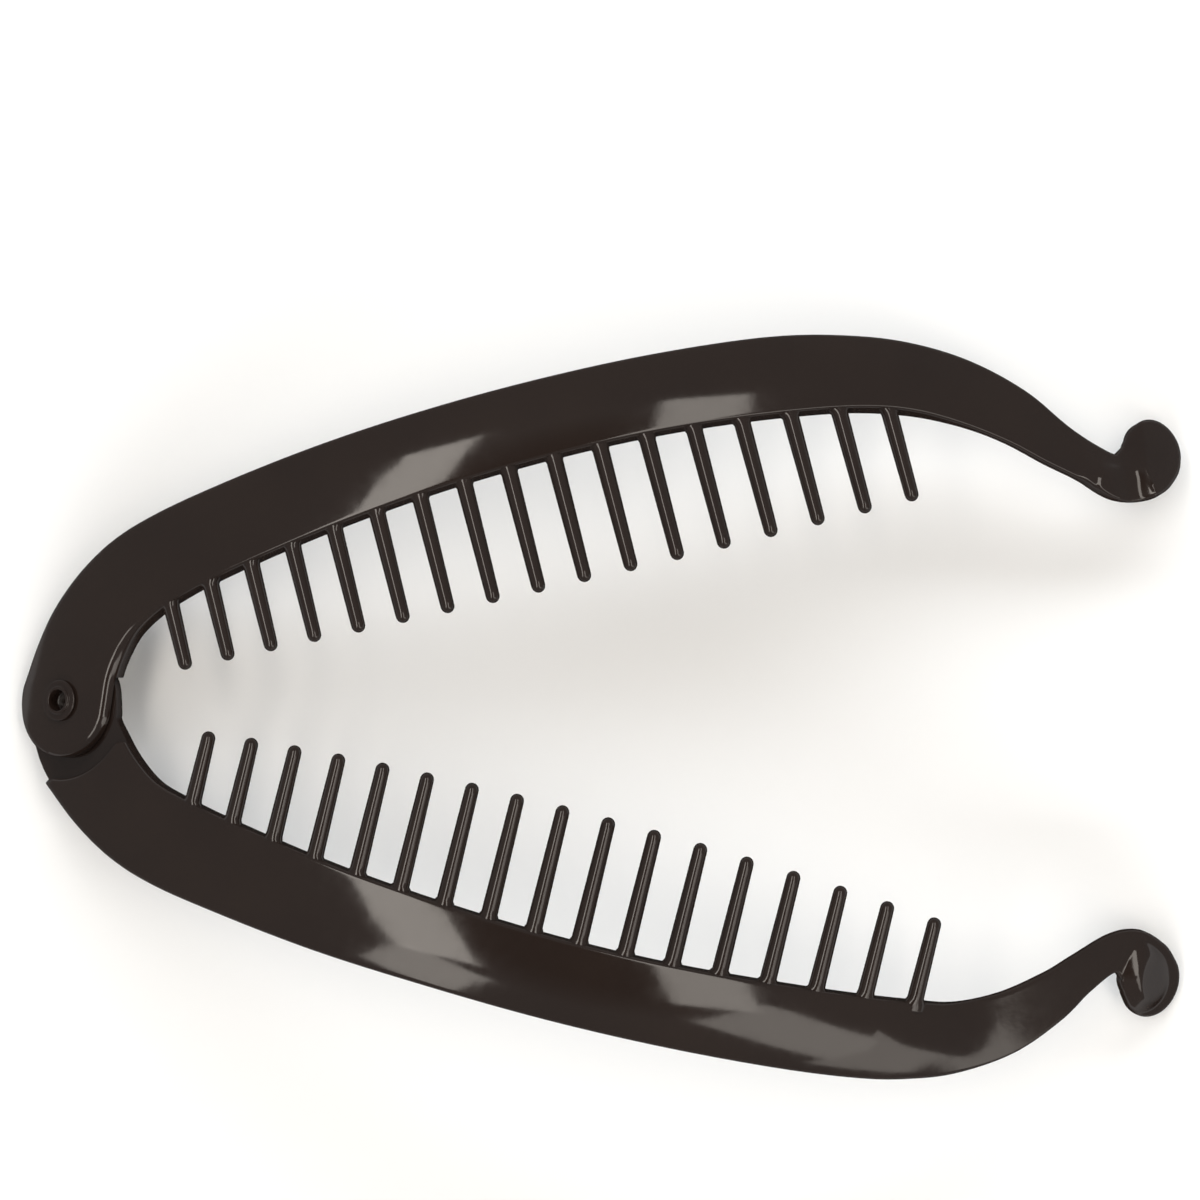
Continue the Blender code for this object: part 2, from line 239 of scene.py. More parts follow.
# %% The arms' centre lines
THICKNESS = 3.4
ROWS = {
    # along, across towards the arm's own side, width
    "upper": (
        (0.0, 0.0, 14.65),
        (2.9, 4.2, 13.4),
        (5.9, 7.3, 12.75),
        (9.9, 10.1, 12.05),
        (14.9, 12.1, 11.9),
        (21.0, 13.3, 11.6),
        (30.0, 14.2, 11.3),
        (45.0, 15.3, 10.9),
        (60.0, 16.0, 10.5),
        (75.0, 16.3, 10.3),
        (90.0, 16.2, 10.3),
        (105.0, 15.5, 10.4),
        (115.4, 14.2, 9.8),
        (122.6, 12.4, 9.4),
        (129.0, 9.6, 9.1),
        (135.2, 5.7, 8.2),
        (139.9, 1.7, 6.8),
        (144.2, -1.5, 5.7),
        (148.0, -3.95, 6.35),
        (151.6, -3.6, 7.95),
        (153.8, -2.0, 8.4),
        (154.4, -1.05, 8.3),
    ),
    "lower": (
        (0.4, 0.1, 14.95),
        (2.7, 4.1, 14.0),
        (5.95, 6.75, 13.15),
        (10.0, 9.4, 12.4),
        (15.1, 11.7, 11.9),
        (21.1, 12.9, 12.0),
        (30.0, 13.8, 11.7),
        (45.0, 14.9, 11.2),
        (60.0, 15.4, 10.7),
        (75.0, 15.6, 10.5),
        (90.0, 15.3, 10.5),
        (105.0, 14.5, 10.7),
        (115.3, 13.7, 10.6),
        (122.7, 12.8, 10.2),
        (129.5, 11.5, 9.4),
        (136.3, 8.5, 8.6),
        (142.1, 4.1, 7.2),
        (145.8, 0.3, 5.8),
        (149.7, -3.05, 5.3),
        (152.9, -3.45, 6.9),
        (155.6, -1.95, 8.7),
        (157.5, -0.25, 9.15),
    ),
}


def through_rows(rows, t):
    """The smooth curve through a table's rows, read at row number t."""
    k = min(int(t), len(rows) - 2)
    f = t - k
    start, end = rows[k], rows[k + 1]
    before = rows[k - 1] if k > 0 else [2 * b - c for b, c in zip(start, end)]
    after = rows[k + 2] if k + 2 < len(rows) else [2 * c - b for b, c in zip(start, end)]
    return tuple(
        b + 0.5 * f * (c - a + f * (2 * a - 5 * b + 4 * c - d + f * (3 * (b - c) + d - a)))
        for a, b, c, d in zip(before, start, end, after)
    )


# %% [markdown]
# Near the hooks each arm thins to its own layer, so that the shut ends can pass: the upper one loses its
# back and the lower one its front. Past its neck the upper hook then steps up. These levels are measured
# out of the front.

# %% Front and back levels
LAP_START, LAP_END = 118.0, 135.0
UPPER_HOOK_BACK = -1.4
LOWER_HOOK_FRONT = -2.0
CATCH_START, CATCH_END = 145.5, 152.0
CATCH_BACK = -0.45


def levels(arm, s):
    """How far out the arm's front and back lie at s."""
    lap = smooth_step(s, LAP_START, LAP_END)
    if arm == "lower":
        return LOWER_HOOK_FRONT * lap, -THICKNESS
    catch = smooth_step(s, CATCH_START, CATCH_END)
    back = -THICKNESS + (THICKNESS + UPPER_HOOK_BACK) * lap + (CATCH_BACK - UPPER_HOOK_BACK) * catch
    return 0.0, back


# %% [markdown]
# The sweep runs on a rail: a chain of points along the centre line that carry the arm's half width, its
# heading and its levels. Both ends are round, and there a ring's bend angle shrinks it from full width to
# a point, which closes the arm. Rings come close together at the hooks, where the surface is busy. The
# rail also says how much of the arm's crown is left, since it ends before the hooks, and how much softer
# the inner edge is by the hinge.

# %% The rail
RING_STEP = 1.0
HOOK_RING_STEP = 0.25
END_RINGS = 24
CROWN_FADE = (122.0, 140.0)
CROWNED_HALF_WIDTH = 5.0
# extra edge radius by the hinge, where it starts to fade, where it has gone
SOFT_EDGE = {"upper": (0.95, 5.0, 19.0), "lower": (0.3, 10.0, 34.0)}


def stations(rows):
    """(along, across, half width, heading, bend) for each ring, from one round end to the other."""
    found = []
    for k in range(len(rows) - 1):
        step = HOOK_RING_STEP if rows[k][0] > LAP_END else RING_STEP
        count = math.ceil(math.dist(rows[k][:2], rows[k + 1][:2]) / step)
        found += [through_rows(rows, k + i / count) for i in range(count)]
    found.append(rows[-1])
    places = []
    for k, (s, v, width) in enumerate(found):
        before, after = found[max(k - 1, 0)], found[min(k + 1, len(found) - 1)]
        places.append((s, v, width / 2, math.atan2(after[1] - before[1], after[0] - before[0]), 0.0))
    quarter = [math.pi / 2 * i / END_RINGS for i in range(1, END_RINGS + 1)]
    start = [(*places[0][:4], -bend) for bend in reversed(quarter)]
    return start + places + [(*places[-1][:4], bend) for bend in quarter]


def rail_mesh(arm):
    """The chain of points that one arm is swept along, with an attribute for each thing that it carries."""
    places = stations(ROWS[arm])
    mesh = bpy.data.meshes.new(arm + "_rail")
    links = [(k, k + 1) for k in range(len(places) - 1)]
    mesh.from_pydata([(s, v, 0.0) for s, v, *_ in places], links, [])
    softness, *soft_span = SOFT_EDGE[arm]
    along, _, halves, headings, bends = zip(*places)
    fronts, backs = zip(*(levels(arm, s) for s in along))
    crowns = [min(half / CROWNED_HALF_WIDTH, 1.0) for half in halves]
    columns = {
        "half": halves,
        "heading": headings,
        "bend": bends,
        "front": fronts,
        "back": backs,
        "crowned": [crown * (1.0 - smooth_step(s, *CROWN_FADE)) for crown, s in zip(crowns, along)],
        "softness": [softness * (1.0 - smooth_step(s, *soft_span)) for s in along],
    }
    for name, data in columns.items():
        mesh.attributes.new(name, "FLOAT", "POINT").data.foreach_set("value", data)
    return mesh


# %% [markdown]
# The section is a loop of points round the arm. Each point knows how far across it is, from -1 to 1, and
# whether it belongs to the front or the back. They crowd towards the edges like a cosine, so that small
# edge radii come out round. The tree sweeps this loop along the rail and then works out every point's
# true place from four rules: the arm's own width, a crown that falls off with the square of the distance
# from the middle, an edge radius that depends only on the distance to the outline, and the levels. The
# round ends need nothing extra.

# %% The tree that sweeps an arm
WELD_MM = 0.0005
SWEEP_SIZES = {"Points across": 45, "Crown": 0.5, "Front edge": 0.42, "Back edge": 0.5, "Material": brown}
sweep, given = new_tree("swept_arm", SWEEP_SIZES)

# the section's loop, whose points know their share and their side
index = add_node(sweep, "GeometryNodeInputIndex")
last = add_node(sweep, "ShaderNodeMath", [given["Points across"], 1.0], operation="SUBTRACT")
loop_size = add_node(sweep, "ShaderNodeMath", [given["Points across"], 2.0], operation="MULTIPLY")
loop_last = add_node(sweep, "ShaderNodeMath", [loop_size, 1.0], operation="SUBTRACT")
from_end = add_node(sweep, "ShaderNodeMath", [loop_last, index], operation="SUBTRACT")
step = add_node(sweep, "ShaderNodeMath", [index, from_end], operation="MINIMUM")
angle = add_node(sweep, "ShaderNodeMath", [step, math.pi], operation="MULTIPLY")
angle = add_node(sweep, "ShaderNodeMath", [angle, last], operation="DIVIDE")
share = add_node(sweep, "ShaderNodeMath", [angle], operation="COSINE")
is_back = add_node(sweep, "ShaderNodeMath", [index, last], operation="GREATER_THAN")
loop = add_node(sweep, "GeometryNodeCurvePrimitiveCircle", {"Resolution": loop_size, "Radius": 1.0})
for name, value in {"share": share, "is_back": is_back}.items():
    named = {"Geometry": loop, "Name": name, "Value": value}
    loop = add_node(sweep, "GeometryNodeStoreNamedAttribute", named, domain="POINT")

# the loop swept along the rail
rail = add_node(sweep, "GeometryNodeMeshToCurve", {"Mesh": given["Geometry"]})
centre = add_node(sweep, "GeometryNodeInputPosition")
rail = add_node(
    sweep, "GeometryNodeStoreNamedAttribute",
    {"Geometry": rail, "Name": "centre", "Value": centre},
    data_type="FLOAT_VECTOR", domain="POINT",
)
body = add_node(sweep, "GeometryNodeCurveToMesh", {"Curve": rail, "Profile Curve": loop})

# each point's place in plan, with the round ends
read = {
    name: add_node(sweep, "GeometryNodeInputNamedAttribute", {"Name": name})
    for name in ("share", "is_back", "half", "heading", "bend", "front", "back", "crowned", "softness")
}
centre = add_node(
    sweep, "GeometryNodeInputNamedAttribute", {"Name": "centre"}, data_type="FLOAT_VECTOR"
)
cos_bend = add_node(sweep, "ShaderNodeMath", [read["bend"]], operation="COSINE")
sin_bend = add_node(sweep, "ShaderNodeMath", [read["bend"]], operation="SINE")
chord = add_node(sweep, "ShaderNodeMath", [read["half"], cos_bend], operation="MULTIPLY")
across = add_node(sweep, "ShaderNodeMath", [chord, read["share"]], operation="MULTIPLY")
reach = add_node(sweep, "ShaderNodeMath", [read["half"], sin_bend], operation="MULTIPLY")
flat = add_node(sweep, "ShaderNodeCombineXYZ", [reach, across, 0.0])
turned = add_node(
    sweep, "ShaderNodeVectorRotate", {"Vector": flat, "Angle": read["heading"]}, rotation_type="Z_AXIS"
)
plan = add_node(sweep, "ShaderNodeVectorMath", [centre, turned], operation="ADD")

# how far the edge radius drops it
from_middle = add_node(sweep, "ShaderNodeVectorMath", [flat], operation="LENGTH").outputs["Value"]
inset = add_node(sweep, "ShaderNodeMath", [read["half"], from_middle], operation="SUBTRACT")
inset = add_node(sweep, "ShaderNodeMath", [inset, 0.0], operation="MAXIMUM")
inner_side = add_node(sweep, "ShaderNodeMath", [read["share"], 0.0], operation="LESS_THAN")
softer = add_node(sweep, "ShaderNodeMath", [read["softness"], inner_side], operation="MULTIPLY")
softer = add_node(sweep, "ShaderNodeMath", [softer, cos_bend], operation="MULTIPLY")
front_edge = add_node(sweep, "ShaderNodeMath", [given["Front edge"], softer], operation="ADD")
edge_radius = add_node(
    sweep, "ShaderNodeMix", {"Factor": read["is_back"], "A": front_edge, "B": given["Back edge"]}
)
inset = add_node(sweep, "ShaderNodeMath", [inset, edge_radius], operation="MINIMUM")
lacking = add_node(sweep, "ShaderNodeMath", [edge_radius, inset], operation="SUBTRACT")
squared = add_node(sweep, "ShaderNodeMath", [lacking, lacking], operation="MULTIPLY")
radius_squared = add_node(sweep, "ShaderNodeMath", [edge_radius, edge_radius], operation="MULTIPLY")
kept = add_node(sweep, "ShaderNodeMath", [radius_squared, squared], operation="SUBTRACT")
kept = add_node(sweep, "ShaderNodeMath", [kept, 0.0], operation="MAXIMUM")
kept = add_node(sweep, "ShaderNodeMath", [kept], operation="SQRT")
edge_drop = add_node(sweep, "ShaderNodeMath", [edge_radius, kept], operation="SUBTRACT")

# its level, from the crown, the edge and the rail
off_middle = add_node(sweep, "ShaderNodeMath", [across, read["half"]], operation="DIVIDE")
off_middle = add_node(sweep, "ShaderNodeMath", [off_middle, off_middle], operation="MULTIPLY")
crown = add_node(sweep, "ShaderNodeMath", [given["Crown"], read["crowned"]], operation="MULTIPLY")
crown_drop = add_node(sweep, "ShaderNodeMath", [crown, off_middle], operation="MULTIPLY")
front_drop = add_node(sweep, "ShaderNodeMath", [crown_drop, edge_drop], operation="ADD")
front_level = add_node(sweep, "ShaderNodeMath", [read["front"], front_drop], operation="SUBTRACT")
back_level = add_node(sweep, "ShaderNodeMath", [read["back"], edge_drop], operation="ADD")
level = add_node(sweep, "ShaderNodeMix", {"Factor": read["is_back"], "A": front_level, "B": back_level})
rise = add_node(sweep, "ShaderNodeCombineXYZ", [0.0, 0.0, level])
place = add_node(sweep, "ShaderNodeVectorMath", [plan, rise], operation="ADD")

body = add_node(sweep, "GeometryNodeSetPosition", {"Geometry": body, "Position": place})
body = add_node(sweep, "GeometryNodeMergeByDistance", {"Geometry": body, "Distance": WELD_MM})
body = add_node(sweep, "GeometryNodeSetShadeSmooth", {"Geometry": body})
body = add_node(sweep, "GeometryNodeRealizeInstances", {"Geometry": body})
body = add_node(sweep, "GeometryNodeSetMaterial", {"Geometry": body, "Material": given["Material"]})
add_node(sweep, "NodeGroupOutput", {"Geometry": body})
print("nodes in the sweep:", len(sweep.nodes))


# %% Sweep both arms flat
def swept_arm(arm):
    """One arm as a flat strip, swept along its rail."""
    obj = new_object(arm + "_arm_body", rail_mesh(arm))
    run_tree(sweep, obj, SWEEP_SIZES)
    close_mesh(obj)
    return obj


arms = {arm: swept_arm(arm) for arm in SIDE}

# %% [markdown]
# The two hooks are where the clip catches, and they aren't ruled shapes: a mould maker cut them by eye.
# So they are sculpted with formulas on the swept strips. Along the upper hook's neck runs a low crown,
# and its front steps up at a crease across the neck, then climbs a hollow cove to a flat round head. On
# the lower hook a low teardrop stands on the thin end, for the thumb. Each formula gives a height for a
# place on the front, in the flat strip's own coordinates.

# %% The upper hook's crown, step, cove and head
NECK_CROWN = {"foot": -5.8, "slope": 0.33, "far_foot": 3.5, "far_slope": 0.1, "rounding": 0.5}
CROWN_SPAN = {"start": (141.8, 144.6), "end": (156.0, 158.0)}
NECK_STEP = {"foot": (144.4, -4.5), "slant": 0.27, "run": 0.85, "slope": 0.5}
STEP_FADES = {"across": (-4.6, -1.0), "along": (146.0, 151.0)}
COVE = {"end": (151.5, -4.4), "heading_deg": 4.0, "bend": 0.2, "radius": 4.0, "steepest_deg": 48.0}
HEAD = {"height": 1.95, "slope": -0.055}


def softly_lower(a, b, rounding):
    """The lower of two heights, with the crease between them rounded."""
    return -rounding * math.log(math.exp(-a / rounding) + math.exp(-b / rounding))


def neck_crown(s, v):
    """A low ridge along the neck. It starts at a foot line, above the hook's lower edge."""
    rounding = NECK_CROWN["rounding"]
    near_side = -NECK_CROWN["slope"] * softly_lower(NECK_CROWN["foot"] - v, 0.0, rounding)
    far_side = NECK_CROWN["far_slope"] * max(NECK_CROWN["far_foot"] - v, 0.0)
    shown = smooth_step(s, *CROWN_SPAN["start"]) * (1.0 - smooth_step(s, *CROWN_SPAN["end"]))
    return shown * max(softly_lower(near_side, far_side, NECK_CROWN["slope"] * rounding), 0.0)


def cove_height(along):
    """A round hollow that ends in a straight slope. along is counted from the hollow's end."""
    steepest, radius = math.radians(COVE["steepest_deg"]), COVE["radius"]
    if along > 0.0:
        return radius * (1.0 - math.cos(steepest)) + along * math.tan(steepest)
    into = max(along + radius * math.sin(steepest), 0.0)
    return radius - math.sqrt(radius**2 - into**2)


def upper_hook_height(s, v):
    """How far the upper hook's front stands above the arm's own front."""
    foot_s, foot_v = NECK_STEP["foot"]
    from_crease = s - foot_s - NECK_STEP["slant"] * (v - foot_v)
    step = NECK_STEP["slope"] * min(max(from_crease, 0.0), NECK_STEP["run"])
    step *= 1.0 - smooth_step(v, *STEP_FADES["across"])
    step *= 1.0 - smooth_step(s, *STEP_FADES["along"])
    heading = math.radians(COVE["heading_deg"])
    x, y = s - COVE["end"][0], v - COVE["end"][1]
    along = x * math.cos(heading) + y * math.sin(heading) - COVE["bend"] * max(y, 0.0)
    return min(step + cove_height(along) + neck_crown(s, v), HEAD["height"] + HEAD["slope"] * along)


# %% The lower hook's teardrop
TEARDROP = {"centre": (155.8, -0.3), "turn_deg": -24.0, "left": 3.8, "right": 4.3, "tip": 5.8, "foot": 4.3}
TEARDROP_TAPER = 0.5
TEARDROP_SIDE = 2.4
TEARDROP_ROOF = {"height": 1.25, "ridge": -0.8, "fall": 0.27, "rounding": 0.12}


def lower_hook_height(s, v):
    """How far the teardrop stands up: a sloping side, cut off by a sloping roof."""
    turn = math.radians(TEARDROP["turn_deg"])
    x, y = s - TEARDROP["centre"][0], v - TEARDROP["centre"][1]
    x, y = x * math.cos(turn) + y * math.sin(turn), x * math.sin(turn) - y * math.cos(turn)
    roof = TEARDROP_ROOF["height"] - TEARDROP_ROOF["fall"] * (x - TEARDROP_ROOF["ridge"])
    x /= TEARDROP["left"] if x < 0.0 else TEARDROP["right"]
    y /= TEARDROP["tip"] if y > 0.0 else TEARDROP["foot"]
    if y > 0.0:
        x /= 1.0 - TEARDROP_TAPER * min(y, 1.0) ** 2
    side = TEARDROP_SIDE * max(1.0 - math.hypot(x, y), 0.0)
    rounding = TEARDROP_ROOF["rounding"]
    return softly_lower(side, roof, rounding) - softly_lower(0.0, roof, rounding)


def raise_front(obj, height):
    """Lifts the front of a flat arm by a height that depends on the place."""
    mesh = obj.data
    on_back = mesh.attributes["is_back"].data
    highest = 0.0
    for vert, flag in zip(mesh.vertices, on_back):
        if flag.value < 0.5 and vert.co.x > LAP_END:
            lift = height(vert.co.x, vert.co.y)
            vert.co.z += lift
            highest = max(highest, lift)
    print(obj.name, "front raised by up to", round(highest, 2), "mm")


raise_front(arms["upper"], upper_hook_height)
raise_front(arms["lower"], lower_hook_height)

# %% [markdown]
# Seventeen teeth stand on each arm's inner wall. A tooth is round, tapers a little, ends in a half round
# tip, and flares where it leaves the wall, because a mould maker rounds that corner so that the tooth
# doesn't snap. Their tips follow a smooth curve, so every fourth one is in a table and one curve through
# the rows gives the rest.

# %% The rows of teeth
TOOTH_COUNT = 17
TOOTH_LEVEL = -1.7
TOOTH_LEAN_DEG = 0.9
TIPS = {
    # number, along, how far past the middle line the tip reaches
    "upper": ((1, 19.0, 1.8), (5, 43.8, 4.4), (9, 67.9, 5.7), (13, 92.5, 5.5), (17, 118.6, 3.7)),
    "lower": ((1, 22.7, 2.3), (5, 47.3, 5.1), (9, 71.4, 6.1), (13, 96.0, 5.6), (17, 122.4, 3.4)),
}


def tip_place(rows, number):
    """Along and reach of a numbered tooth, on the one smooth curve through all the rows."""
    s = reach = 0.0
    for row in rows:
        share = math.prod((number - other[0]) / (row[0] - other[0]) for other in rows if other is not row)
        s += share * row[1]
        reach += share * row[2]
    return s, reach


def inner_wall(rows, s):
    """Where the arm's inner wall lies at s, counted towards the arm's own side."""
    row = next(k for k in range(1, len(rows)) if rows[k][0] >= s)
    share = (s - rows[row - 1][0]) / (rows[row][0] - rows[row - 1][0])
    _, v, width = through_rows(rows, row - 1 + share)
    return v - width / 2


def tooth_row(arm):
    """One point for each tooth where it leaves the wall, with its length and the wall's slope there."""
    lean = math.radians(TOOTH_LEAN_DEG)
    roots, lengths, slopes = [], [], []
    for number in range(1, TOOTH_COUNT + 1):
        s, reach = tip_place(TIPS[arm], number)
        length = (inner_wall(ROWS[arm], s) + reach) / math.cos(lean)
        root = s - SIDE[arm] * length * math.sin(lean)
        roots.append((root, inner_wall(ROWS[arm], root), TOOTH_LEVEL))
        lengths.append(length)
        slopes.append((inner_wall(ROWS[arm], root + 1.0) - inner_wall(ROWS[arm], root - 1.0)) / 2.0)
    mesh = bpy.data.meshes.new(arm + "_tooth_row")
    mesh.from_pydata(roots, [], [])
    for name, data in {"length": lengths, "wall_slope": slopes}.items():
        mesh.attributes.new(name, "FLOAT", "POINT").data.foreach_set("value", data)
    print(arm, "teeth, shortest and longest in mm:", round(min(lengths), 1), round(max(lengths), 1))
    return mesh


# %% [markdown]
# The tree puts a small grid on every root point. One way across the grid runs round the tooth and the
# other from root to tip, so after the instances are realized one set of rules bends all seventeen grids
# into teeth at once. A copied tooth couldn't do this, because each has its own length and meets the wall
# at its own slant. Along the tooth the rows crowd at both ends, where the flare and the round tip need
# them.

# %% The tree that makes teeth
SLANT_REACH = 2.0
TOOTH_SIZES = {
    "Sides": 20,
    "Rings": 30,
    "Root radius": 1.1,
    "Tip radius": 0.9,
    "Flare": 0.5,
    "Buried": 1.2,
    "Lean": 0.0,
    "Material": brown,
}
comb, given = new_tree("comb_teeth", TOOTH_SIZES)

# a grid on every root point, and each grid point's own chart
across = add_node(comb, "ShaderNodeMath", [given["Sides"], 1.0], operation="ADD")
grid_sizes = {"Size X": 1.0, "Size Y": 1.0, "Vertices X": across, "Vertices Y": given["Rings"]}
grid = add_node(comb, "GeometryNodeMeshGrid", grid_sizes).outputs["Mesh"]
where = add_node(comb, "GeometryNodeInputPosition")
grid = add_node(
    comb, "GeometryNodeStoreNamedAttribute",
    {"Geometry": grid, "Name": "chart", "Value": where},
    data_type="FLOAT_VECTOR", domain="POINT",
)
root = add_node(
    comb, "GeometryNodeStoreNamedAttribute",
    {"Geometry": given["Geometry"], "Name": "root", "Value": where},
    data_type="FLOAT_VECTOR", domain="POINT",
)
teeth = add_node(comb, "GeometryNodeInstanceOnPoints", {"Points": root, "Instance": grid})
teeth = add_node(comb, "GeometryNodeRealizeInstances", {"Geometry": teeth})

# its turn round the tooth and its height above the wall
read = {
    name: add_node(comb, "GeometryNodeInputNamedAttribute", {"Name": name})
    for name in ("length", "wall_slope")
}
root = add_node(comb, "GeometryNodeInputNamedAttribute", {"Name": "root"}, data_type="FLOAT_VECTOR")
chart = add_node(comb, "GeometryNodeInputNamedAttribute", {"Name": "chart"}, data_type="FLOAT_VECTOR")
chart = add_node(comb, "ShaderNodeSeparateXYZ", [chart]).outputs
turn = add_node(comb, "ShaderNodeMath", [chart["X"], 2 * math.pi], operation="MULTIPLY")
share = add_node(comb, "ShaderNodeMath", [chart["Y"], 0.5], operation="ADD")
share = add_node(comb, "ShaderNodeMath", [share, math.pi], operation="MULTIPLY")
share = add_node(comb, "ShaderNodeMath", [share], operation="COSINE")
share = add_node(comb, "ShaderNodeMath", [share, -0.5, 0.5], operation="MULTIPLY_ADD")
whole = add_node(comb, "ShaderNodeMath", [read["length"], given["Buried"]], operation="ADD")
height = add_node(comb, "ShaderNodeMath", [share, whole], operation="MULTIPLY")
height = add_node(comb, "ShaderNodeMath", [height, given["Buried"]], operation="SUBTRACT")

# the tooth's radius there, and the flare at its root
radius = add_node(
    comb, "ShaderNodeMapRange", [height, 0.0, read["length"], given["Root radius"], given["Tip radius"]]
)
tip_start = add_node(comb, "ShaderNodeMath", [read["length"], given["Tip radius"]], operation="SUBTRACT")
into_tip = add_node(comb, "ShaderNodeMapRange", [height, tip_start, read["length"], 0.0, 1.0])
into_tip = add_node(comb, "ShaderNodeMath", [into_tip, into_tip], operation="MULTIPLY")
into_tip = add_node(comb, "ShaderNodeMath", [1.0, into_tip], operation="SUBTRACT")
roundness = add_node(comb, "ShaderNodeMath", [into_tip], operation="SQRT")
radius = add_node(comb, "ShaderNodeMath", [radius, roundness], operation="MULTIPLY")
into_flare = add_node(comb, "ShaderNodeMapRange", [height, 0.0, given["Flare"], 1.0, 0.0])
curve = add_node(comb, "ShaderNodeMath", [into_flare, into_flare], operation="MULTIPLY")
curve = add_node(comb, "ShaderNodeMath", [1.0, curve], operation="SUBTRACT")
curve = add_node(comb, "ShaderNodeMath", [curve], operation="SQRT")
curve = add_node(comb, "ShaderNodeMath", [1.0, curve], operation="SUBTRACT")
flare = add_node(comb, "ShaderNodeMath", [given["Flare"], curve], operation="MULTIPLY")
started = add_node(comb, "ShaderNodeMath", [share, 0.0], operation="GREATER_THAN")
radius = add_node(comb, "ShaderNodeMath", [radius, started], operation="MULTIPLY")
flare = add_node(comb, "ShaderNodeMath", [flare, started], operation="MULTIPLY")

# its place, with the lean and the wall's slant
cosine = add_node(comb, "ShaderNodeMath", [turn], operation="COSINE")
sine = add_node(comb, "ShaderNodeMath", [turn], operation="SINE")
wide = add_node(comb, "ShaderNodeMath", [radius, flare], operation="ADD")
sideways = add_node(comb, "ShaderNodeMath", [wide, cosine], operation="MULTIPLY")
outward = add_node(comb, "ShaderNodeMath", [radius, sine], operation="MULTIPLY")
leaning = add_node(comb, "ShaderNodeMath", [height, given["Lean"]], operation="MULTIPLY")
along = add_node(comb, "ShaderNodeMath", [sideways, leaning], operation="ADD")
near_wall = add_node(comb, "ShaderNodeMapRange", [height, 0.0, SLANT_REACH, 1.0, 0.0])
slant = add_node(comb, "ShaderNodeMath", [sideways, read["wall_slope"]], operation="MULTIPLY")
slant = add_node(comb, "ShaderNodeMath", [slant, near_wall], operation="MULTIPLY")
inward = add_node(comb, "ShaderNodeMath", [slant, height], operation="SUBTRACT")
place = add_node(comb, "ShaderNodeCombineXYZ", [along, inward, outward])
place = add_node(comb, "ShaderNodeVectorMath", [root, place], operation="ADD")

teeth = add_node(comb, "GeometryNodeSetPosition", {"Geometry": teeth, "Position": place})
teeth = add_node(comb, "GeometryNodeMergeByDistance", {"Geometry": teeth, "Distance": WELD_MM})
teeth = add_node(comb, "GeometryNodeSetShadeSmooth", {"Geometry": teeth})
teeth = add_node(comb, "GeometryNodeRealizeInstances", {"Geometry": teeth})
teeth = add_node(comb, "GeometryNodeSetMaterial", {"Geometry": teeth, "Material": given["Material"]})
add_node(comb, "NodeGroupOutput", {"Geometry": teeth})
print("nodes in the comb:", len(comb.nodes))


# %% Make both combs flat
combs = {}
for arm in SIDE:
    combs[arm] = new_object(arm + "_arm_teeth", tooth_row(arm))
    lean = SIDE[arm] * math.tan(math.radians(TOOTH_LEAN_DEG))
    run_tree(comb, combs[arm], {**TOOTH_SIZES, "Lean": lean})
    close_mesh(combs[arm])

# %% [markdown]
# Now the flat pieces go onto the arch, and the hinge can be cut. The two arms meet in a half lap: the
# upper arm keeps only its front, called the ear, and the lower arm only its back, called the tongue. Each
# is cut by a solid turned round the hinge axis, so the arms clear each other at every angle. The tongue's
# cutter flares where it leaves the front, which rounds the shoulder. The flare follows the front's own
# height all the way round and ends a hair above it, so that the two meet in a clean line.

# %% The hinge's cutters
LAP_LEVEL = -1.85
LAP_CLEARANCE = 0.3
EAR_RECESS_RADIUS = 8.3
SHOULDER_RADIUS = 10.1
SHOULDER_ROUNDING = 0.65
SHOULDER_CORNER = 1.8
SHOULDER_CREASE = 0.03
SHOULDER_FLARE = (3.0, 1.0)
WALL_FOOT = 0.1
HOLE_RADIUS = 2.2
FAR = 12.0
CUTTER_SIDES = 240
ROLL_STEPS = 8
CORNER_ROUNDS = 8
HINGE_ROWS = 5
SAMPLES_PER_ROW = 12


def ring_solid(name, rings):
    """A closed solid through rings of equally many points, given in millimetres."""
    mesh = bpy.data.meshes.new(name)
    bm = bmesh.new()
    loops = [[bm.verts.new(Vector(point) * MM) for point in ring] for ring in rings]
    sides = len(rings[0])
    for a, b in zip(loops, loops[1:]):
        for k in range(sides):
            bm.faces.new((a[k], a[(k + 1) % sides], b[(k + 1) % sides], b[k]))
    bm.faces.new(loops[0])
    bm.faces.new(loops[-1])
    bmesh.ops.recalc_face_normals(bm, faces=bm.faces)
    bm.to_mesh(mesh)
    bm.free()
    return mesh


def turned_rings(profile):
    """Rings round Z for a profile of (radius, height) points."""
    turns = [2 * math.pi * k / CUTTER_SIDES for k in range(CUTTER_SIDES)]
    return [[(r * math.cos(a), r * math.sin(a), z) for a in turns] for r, z in profile]


def lower_front_at(x, y):
    """The height of the lower arm's front near the hinge, and how far inside the outline a place is."""
    rows = ROWS["lower"]
    samples = [through_rows(rows, k / SAMPLES_PER_ROW) for k in range(HINGE_ROWS * SAMPLES_PER_ROW)]
    s, v, width = min(samples, key=lambda row: math.hypot(row[0] - x, row[1] + y))
    away = math.hypot(s - x, v + y)
    crown_drop = SWEEP_SIZES["Crown"] * min(2 * away / width, 1.0) ** 2
    return on_arch(x, y, 0.0).z / MM - crown_drop, width / 2 - away


def quarter_drop(depth, radius):
    """How far a quarter round of this radius has dropped at a depth inside its edge."""
    lacking = radius - min(max(depth, 0.0), radius)
    return radius - math.sqrt(radius**2 - lacking**2)


